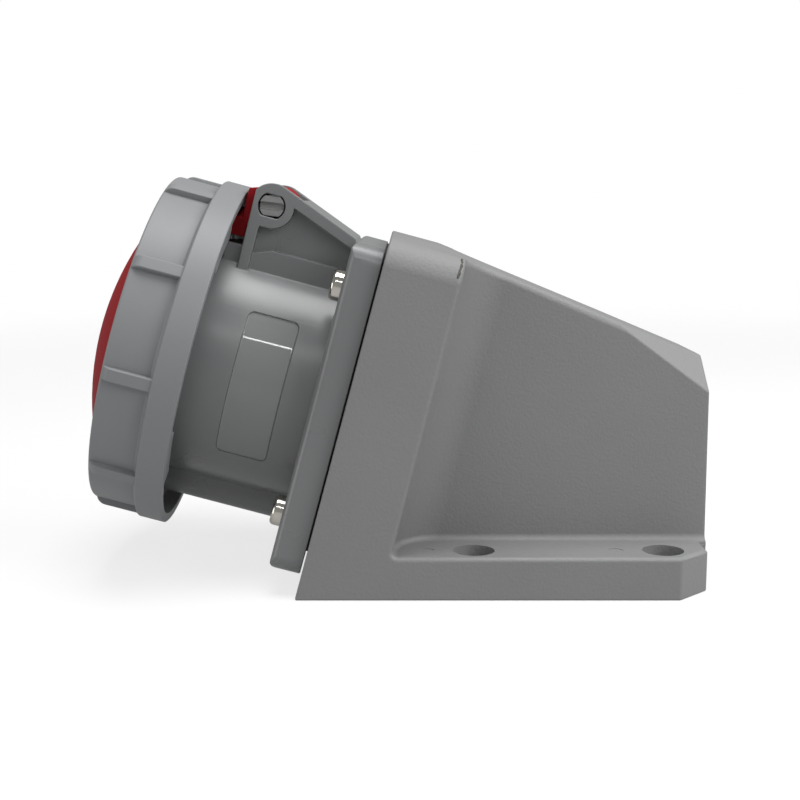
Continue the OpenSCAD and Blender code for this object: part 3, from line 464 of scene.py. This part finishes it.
# Flange gasket
# A flat frame stamped from black rubber sheet. It lies between flange and hood, and its upper
# edge reaches to the top of the flange, so that no light shows through the joint.
gasket_corner = 43.05 * mm
gasket_rise = 2.4 * mm
rubber_shades = (0.014, 0.014, 0.014), (0.022, 0.022, 0.022)
rubber_roughness = 0.6, 0.75
rubber_grain = 0.8 * mm
rubber_grain_depth = 0.03 * mm


def solid_of(node, shortest_edge=0.02 * mm):
    """A copy of a node's solid, its loose triangles joined to flat faces."""
    corner_weld = 0.002 * mm
    flat = math.radians(0.05)
    mesh = bmesh.new()
    mesh.from_mesh(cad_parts[node].data)
    bmesh.ops.remove_doubles(mesh, verts=mesh.verts, dist=corner_weld)
    bmesh.ops.dissolve_degenerate(mesh, dist=shortest_edge, edges=mesh.edges)
    bmesh.ops.dissolve_limit(mesh, angle_limit=flat, verts=mesh.verts, edges=mesh.edges)
    return mesh


black_rubber = plastic("black_rubber", rubber_shades, rubber_roughness, rubber_grain, rubber_grain_depth)
gasket_mesh = solid_of("flange_gasket")
top_edge = [v for v in gasket_mesh.verts if (v.co - seat_mid).dot(socket_up) > gasket_corner]
bmesh.ops.translate(gasket_mesh, verts=top_edge, vec=gasket_rise * socket_up)
flange_gasket = finished(gasket_mesh, "rubber_flange_gasket", black_rubber)
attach(flange_gasket, "socket")
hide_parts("flange_gasket")


# Socket housing
# Flange, barrel, bayonet collar and hinge bracket are one moulding in satin grey plastic. It is
# screwed to the hood, and a bare polished panel lies on the side of the barrel, painted a little
# lighter than the rest as a painted sheen.
housing_least = 0.15 * mm
housing_edge = 0.4 * mm
edge_steps = 2
shelf_front = 36.5 * mm
shelf_near = 0.2 * mm
shelf_foot = 30 * mm
shelf_reach = 2.5 * mm
hinge_mid = Vector((-91.42, 0, 117.66)) * mm
eye_r = 8 * mm
eye_near = 3 * mm
eye_corner_r = 1.6 * mm
eye_corner_steps = 4
across_share = 0.9
panel_r = 38.6 * mm
panel_near = 0.2 * mm
panel_start = 9.6 * mm
panel_len = 16 * mm
housing_shades = (0.148, 0.152, 0.154), (0.164, 0.168, 0.170)
housing_roughness = 0.27, 0.35
housing_grain = 0.45 * mm
housing_grain_depth = 0.02 * mm
# The panel's shades are the housing's colours painted about a fifth lighter as a painted sheen; its real
# polish is its low roughness.
panel_painted_sheen_shades = (0.176, 0.181, 0.182), (0.194, 0.199, 0.200)
panel_roughness = 0.04, 0.06
panel_wave = 3 * mm
panel_wave_depth = 0.002 * mm


def on_shelf_front(place):
    """Whether a corner belongs to the front of the shelf under the hinge arm."""
    ahead = (place - seat_mid).dot(socket_axis) - shelf_front
    return abs(ahead) < shelf_near and (place - seat_mid).dot(socket_up) > shelf_foot


def in_eye_corner(edge):
    """Whether an edge runs across in the inner corner between a hinge eye and its post."""
    across = abs((edge.verts[0].co - edge.verts[1].co).y) > across_share * edge.calc_length()
    outs = [math.hypot(v.co.x - hinge_mid.x, v.co.z - hinge_mid.z) for v in edge.verts]
    by_eye = all(abs(out - eye_r) < eye_near for out in outs)
    in_front = all(v.co.x < hinge_mid.x for v in edge.verts)
    return not edge.is_convex and across and by_eye and in_front


def on_panel(place):
    """Whether a place lies on the polished panel, which is painted lighter as a painted sheen."""
    out = math.hypot((place - seat_mid).dot(socket_up), place.y)
    ahead = (place - seat_mid).dot(socket_axis) - panel_start
    return place.y < 0 and abs(out - panel_r) < panel_near and 0 < ahead < panel_len


housing_mesh = solid_of("socket_housing", housing_least)
shelf_corners = [v for v in housing_mesh.verts if on_shelf_front(v.co)]
bmesh.ops.translate(housing_mesh, verts=shelf_corners, vec=shelf_reach * socket_axis)
eye_corners = [e for e in sharp_edges(housing_mesh) if in_eye_corner(e)]
rounded(housing_mesh, eye_corners, eye_corner_r, eye_corner_steps)
rounded(housing_mesh, sharp_edges(housing_mesh), housing_edge, edge_steps)
# Faces on the panel take the second material, which is painted lighter as a painted sheen.
for face in housing_mesh.faces:
    face.material_index = int(on_panel(face.calc_center_median()))
housing_plastic = plastic("housing_plastic", housing_shades, housing_roughness, housing_grain,
                          housing_grain_depth)
panel_plastic_painted_sheen = plastic("panel_plastic_painted_sheen", panel_painted_sheen_shades, panel_roughness, panel_wave, panel_wave_depth)
socket_housing = finished(housing_mesh, "moulded_socket_housing", housing_plastic, panel_plastic_painted_sheen)
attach(socket_housing, "socket")
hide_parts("socket_housing")


# Flange screws
# Four machine screws of plated steel with high pan heads and cross recesses. They are driven
# through the corners of the flange into the brass inserts.
screw_edge = 0.15 * mm
head_rise = 0.18
zinc_colour = 0.62, 0.60, 0.54
zinc_roughness = 0.06, 0.18
zinc_streaks = 1400
screw_mesh = solid_of("flange_screws")
for vert in screw_mesh.verts:
    height = (vert.co - seat_mid).dot(socket_axis)
    vert.co += head_rise * max(height, 0) * socket_axis
rounded(screw_mesh, sharp_edges(screw_mesh), screw_edge, edge_steps)
zinc = metal("zinc", zinc_colour, zinc_roughness, zinc_streaks)
flange_screws = finished(screw_mesh, "plated_flange_screws", zinc)
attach(flange_screws, "socket")
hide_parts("flange_screws")


# Contacts
# Turned brass sleeves with steel bands sit in a black insulating carrier. A plate behind the
# bulkhead and three screws hold them, and each terminal has a clamping screw.
insulator_shades = (0.028, 0.028, 0.029), (0.036, 0.036, 0.037)
insulator_roughness = 0.4, 0.5
insulator_grain = 0.5 * mm
insulator_grain_depth = 0.02 * mm
spring_colour = 0.5, 0.51, 0.53
spring_roughness = 0.2, 0.34
spring_streaks = 1100
insulator = plastic("insulator", insulator_shades, insulator_roughness, insulator_grain,
                    insulator_grain_depth)
spring_steel = metal("spring_steel", spring_colour, spring_roughness, spring_streaks)
dressed(brass, "contact_l1", "contact_l2", "contact_l3", "contact_n", "contact_pe", "pilot_contact")
dressed(spring_steel, "spring_bands")
dressed(insulator, "contact_carrier", "contact_retainer")
dressed(zinc, "retainer_screws", "terminal_screws")


# Lid
# A domed lid moulded in red plastic, with the arm that swings on the hinge pin and a rubber
# ring in its groove that seals the rim of the barrel.
lid_edge = 0.5 * mm
lid_shades = (0.235, 0.008, 0.011), (0.262, 0.010, 0.013)
lid_roughness = 0.55, 0.63
lid_grain = 0.6 * mm
lid_grain_depth = 0.012 * mm
lid_shine = 0.08
lid_mesh = solid_of("lid")
rounded(lid_mesh, sharp_edges(lid_mesh), lid_edge, edge_steps)
lid_plastic = plastic("lid_plastic", lid_shades, lid_roughness, lid_grain, lid_grain_depth, lid_shine)
lid = finished(lid_mesh, "moulded_lid", lid_plastic)
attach(lid, "lid")
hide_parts("lid")
dressed(black_rubber, "lid_seal")


# Hinge pin
# A pin moulded in grey plastic with a screwdriver slot and two flats at each end. It is pushed
# through the ears and the knuckle of the lid.
pin_edge = 0.35 * mm
pin_shades = (0.19, 0.19, 0.188), (0.216, 0.216, 0.213)
pin_roughness = 0.25, 0.36
pin_grain = 0.4 * mm
pin_grain_depth = 0.02 * mm
pin_mesh = solid_of("hinge_pin")
rounded(pin_mesh, sharp_edges(pin_mesh), pin_edge, edge_steps)
pin_plastic = plastic("pin_plastic", pin_shades, pin_roughness, pin_grain, pin_grain_depth)
hinge_pin = finished(pin_mesh, "slotted_hinge_pin", pin_plastic)
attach(hinge_pin, "socket")
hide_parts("hinge_pin")


# Locking ring
# A ribbed ring moulded in light grey plastic. A bead inside holds it on the lid, where it turns,
# and its lugs go behind those of the collar.
ring_r = 54.3 * mm
ring_in_r = 51.6 * mm
ring_front = 61.2 * mm
ring_front_in = 59.1 * mm
ring_back = 37.2 * mm
ring_steps = 200
mouth_r = 46 * mm
band_r = 57 * mm
band_in_r = 53.9 * mm
band_front = 45.6 * mm
band_front_in = 42.9 * mm
band_slope = 1 * mm
bead_r = 50.6 * mm
bead_back = 53.9 * mm
bead_front = 55.3 * mm
ring_front_edge = 0.8 * mm
ring_front_steps = 4
ring_edge = 0.4 * mm
ring_edge_steps = 3
rib_count = 10
rib_turn = math.radians(5)
rib_r = 56.3 * mm
rib_root = 52.2 * mm
rib_back = 44.2 * mm
rib_front = 61.18 * mm
rib_w = 4 * mm
rib_end_r = 3.5 * mm
rib_end_steps = 8
lug_turns = [math.radians(turn) for turn in (110, 235, 320)]
lug_angle = math.radians(22)
lug_steps = 12
lug_in_r = 46.5 * mm
lug_out_r = 55.4 * mm
lug_back = 37.8 * mm
lug_front = 42 * mm
ring_shades = (0.190, 0.195, 0.201), (0.208, 0.213, 0.219)
ring_roughness = 0.42, 0.5
ring_grain = 0.45 * mm
ring_grain_depth = 0.02 * mm
ring_shine = 0.3
middle_point = 0, 0, 0
axis_z = 0, 0, 1
whole_turn = 4 * quarter_turn


def turned_round(mesh, angle):
    """Turns a mesh about the ring's axis."""
    turn = Matrix.Rotation(angle, 3, axis_z)
    bmesh.ops.rotate(mesh, verts=mesh.verts, cent=middle_point, matrix=turn)


def ring_body():
    """The ring without ribs and lugs, its section spun about the socket's axis."""
    outline = [
        (band_r, ring_back), (band_r, band_front), (ring_r, band_front + band_slope), (ring_r, ring_front),
        (mouth_r, ring_front), (mouth_r, ring_front_in), (ring_in_r, ring_front_in), (ring_in_r, bead_front),
        (bead_r, bead_front), (bead_r, bead_back), (ring_in_r, bead_back), (ring_in_r, band_front_in),
        (band_in_r, band_front_in), (band_in_r, ring_back),
    ]
    mesh = bmesh.new()
    corners = [mesh.verts.new((out, 0, along)) for out, along in outline]
    sides = [mesh.edges.new(pair) for pair in zip(corners, corners[1:] + corners[:1])]
    bmesh.ops.spin(mesh, geom=[*corners, *sides], cent=middle_point, axis=axis_z, angle=whole_turn,
                   steps=ring_steps, use_merge=True)
    bmesh.ops.remove_doubles(mesh, verts=mesh.verts, dist=weld)
    bmesh.ops.recalc_face_normals(mesh, faces=mesh.faces)
    front_line = [
        e for e in sharp_edges(mesh)
        if all(v.co.z > ring_front - ring_edge and math.hypot(v.co.x, v.co.y) > ring_in_r for v in e.verts)
    ]
    rounded(mesh, front_line, ring_front_edge, ring_front_steps)
    rounded(mesh, sharp_edges(mesh), ring_edge, ring_edge_steps)
    return mesh


def ring_rib(turn):
    """A rib with a round front end and soft edges, sunk in the ring."""
    mesh = bmesh.new()
    middle = Matrix.Translation(((rib_r + rib_root) / 2, 0, (rib_front + rib_back) / 2))
    size = Matrix.Diagonal((rib_r - rib_root, rib_w, rib_front - rib_back, 1))
    bmesh.ops.create_cube(mesh, size=1, matrix=middle @ size)
    end = [e for e in mesh.edges if all(v.co.x > ring_r and v.co.z > band_front for v in e.verts)]
    rounded(mesh, end, rib_end_r, rib_end_steps)
    rounded(mesh, sharp_edges(mesh), ring_edge, ring_edge_steps)
    turned_round(mesh, turn)
    return mesh


def ring_lug(turn):
    """A bayonet lug inside the band."""
    mesh = bmesh.new()
    corners = [(lug_in_r, lug_back), (lug_out_r, lug_back), (lug_out_r, lug_front), (lug_in_r, lug_front)]
    face = mesh.faces.new([mesh.verts.new((out, 0, along)) for out, along in corners])
    section = [face, *face.edges, *face.verts]
    bmesh.ops.spin(mesh, geom=section, cent=middle_point, axis=axis_z, angle=lug_angle, steps=lug_steps)
    bmesh.ops.recalc_face_normals(mesh, faces=mesh.faces)
    rounded(mesh, sharp_edges(mesh), ring_edge, ring_edge_steps)
    turned_round(mesh, turn - lug_angle / 2)
    return mesh


ribs = [ring_rib((i + 0.5) * whole_turn / rib_count - rib_turn) for i in range(rib_count)]
lugs = [ring_lug(turn) for turn in lug_turns]
ring_mesh = combined(ring_body(), ribs + lugs, "UNION")
socket_turn = Matrix((socket_up, Vector((0, 1, 0)), socket_axis)).transposed().to_4x4()
bmesh.ops.transform(ring_mesh, matrix=Matrix.Translation(seat_mid) @ socket_turn, verts=ring_mesh.verts)
ring_plastic = plastic("ring_plastic", ring_shades, ring_roughness, ring_grain, ring_grain_depth, ring_shine)
locking_ring = finished(ring_mesh, "moulded_locking_ring", ring_plastic)
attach(locking_ring, "ring")
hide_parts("locking_ring")


# Studio
# A pale floor that fades into a white surround. Soft boxes stand above, beside and in front of the
# socket, a narrow tube light hangs high behind the camera, and the camera has the photograph's angle.
floor_r = 1.2
floor_sides = 96
floor_fade = 0.3
floor_veil = 0.75
floor_colour = 0.88, 0.88, 0.88, 1
floor_roughness = 0.9
white = 1, 1, 1, 1
bright_side = Vector((0.15, 0, -1)).normalized()
dim_glow = 0.26
bright_glow = 0.5
aim = Vector((-0.04, 0, 0.05))
lamp_width = 0.5
lamps = {
    "top_light": (Vector((-0.04, -0.1, 0.95)), 6.7),
    "right_light": (Vector((0.59, 0, 0.68)), 3.1),
    "front_light": (Vector((0.6, -0.47, 0.46)), 3.7),
    "left_light": (Vector((-0.85, -0.35, 0.15)), 1.6),
}
tube_place = Vector((0.04, -0.9, 0.66))
tube_length = 0.6
tube_width = 0.022
tube_power = 0.9
camera_place = Vector((-51.65, -425, 117.7)) * mm
camera_pitch = math.radians(8.58)
camera_lens = 57.87
camera_sensor = 36
camera_near = 0.01

bpy.context.scene.view_settings.view_transform = "Standard"
floor_mesh = bmesh.new()
bmesh.ops.create_circle(floor_mesh, cap_ends=True, segments=floor_sides, radius=floor_r)
floor = object_of(floor_mesh, "floor")
floor_paint = bpy.data.materials.new("floor_paint")
floor_paint.use_nodes = True
nodes, links = floor_paint.node_tree.nodes, floor_paint.node_tree.links
nodes["Principled BSDF"].inputs["Base Color"].default_value = floor_colour
nodes["Principled BSDF"].inputs["Roughness"].default_value = floor_roughness
distance = nodes.new("ShaderNodeVectorMath")
distance.operation = "LENGTH"
links.new(nodes.new("ShaderNodeTexCoord").outputs["Object"], distance.inputs[0])
fade = nodes.new("ShaderNodeMapRange")
fade.interpolation_type = "SMOOTHSTEP"
fade.inputs["From Min"].default_value = floor_fade
fade.inputs["From Max"].default_value = floor_r
fade.inputs["To Min"].default_value = floor_veil
links.new(distance.outputs["Value"], fade.inputs["Value"])
blend = nodes.new("ShaderNodeMixShader")
links.new(fade.outputs["Result"], blend.inputs["Fac"])
links.new(nodes["Principled BSDF"].outputs["BSDF"], blend.inputs[1])
links.new(nodes.new("ShaderNodeBsdfTransparent").outputs["BSDF"], blend.inputs[2])
links.new(blend.outputs["Shader"], nodes["Material Output"].inputs["Surface"])
floor.data.materials.append(floor_paint)

world = bpy.data.worlds.new("studio")
world.use_nodes = True
nodes, links = world.node_tree.nodes, world.node_tree.links
facing = nodes.new("ShaderNodeVectorMath")
facing.operation = "DOT_PRODUCT"
facing.inputs[1].default_value = bright_side
links.new(nodes.new("ShaderNodeTexCoord").outputs["Generated"], facing.inputs[0])
glow = nodes.new("ShaderNodeMapRange")
glow.inputs["From Min"].default_value = -1
glow.inputs["To Min"].default_value = dim_glow
glow.inputs["To Max"].default_value = bright_glow
links.new(facing.outputs["Value"], glow.inputs["Value"])
seen = nodes.new("ShaderNodeMix")
seen.inputs["B"].default_value = 1
links.new(nodes.new("ShaderNodeLightPath").outputs["Is Camera Ray"], seen.inputs["Factor"])
links.new(glow.outputs["Result"], seen.inputs["A"])
nodes["Background"].inputs["Color"].default_value = white
links.new(seen.outputs["Result"], nodes["Background"].inputs["Strength"])
bpy.context.scene.world = world


def softbox(name, place, width, height, power):
    """A soft rectangular lamp that faces the socket."""
    lamp = bpy.data.lights.new(name, "AREA")
    lamp.shape = "RECTANGLE"
    lamp.size = width
    lamp.size_y = height
    lamp.energy = power
    holder = bpy.data.objects.new(name, lamp)
    holder.location = place
    holder.rotation_euler = (aim - place).to_track_quat("-Z", "Y").to_euler()
    bpy.context.scene.collection.objects.link(holder)


for name, (place, power) in lamps.items():
    softbox(name, place, lamp_width, lamp_width, power)
softbox("tube_light", tube_place, tube_length, tube_width, tube_power)

camera_data = bpy.data.cameras.new("camera")
camera_data.sensor_width = camera_sensor
camera_data.lens = camera_lens
camera_data.clip_start = camera_near
camera = bpy.data.objects.new("camera", camera_data)
camera.location = camera_place
camera.rotation_euler = (quarter_turn - camera_pitch, 0, 0)
bpy.context.scene.collection.objects.link(camera)
bpy.context.scene.camera = camera
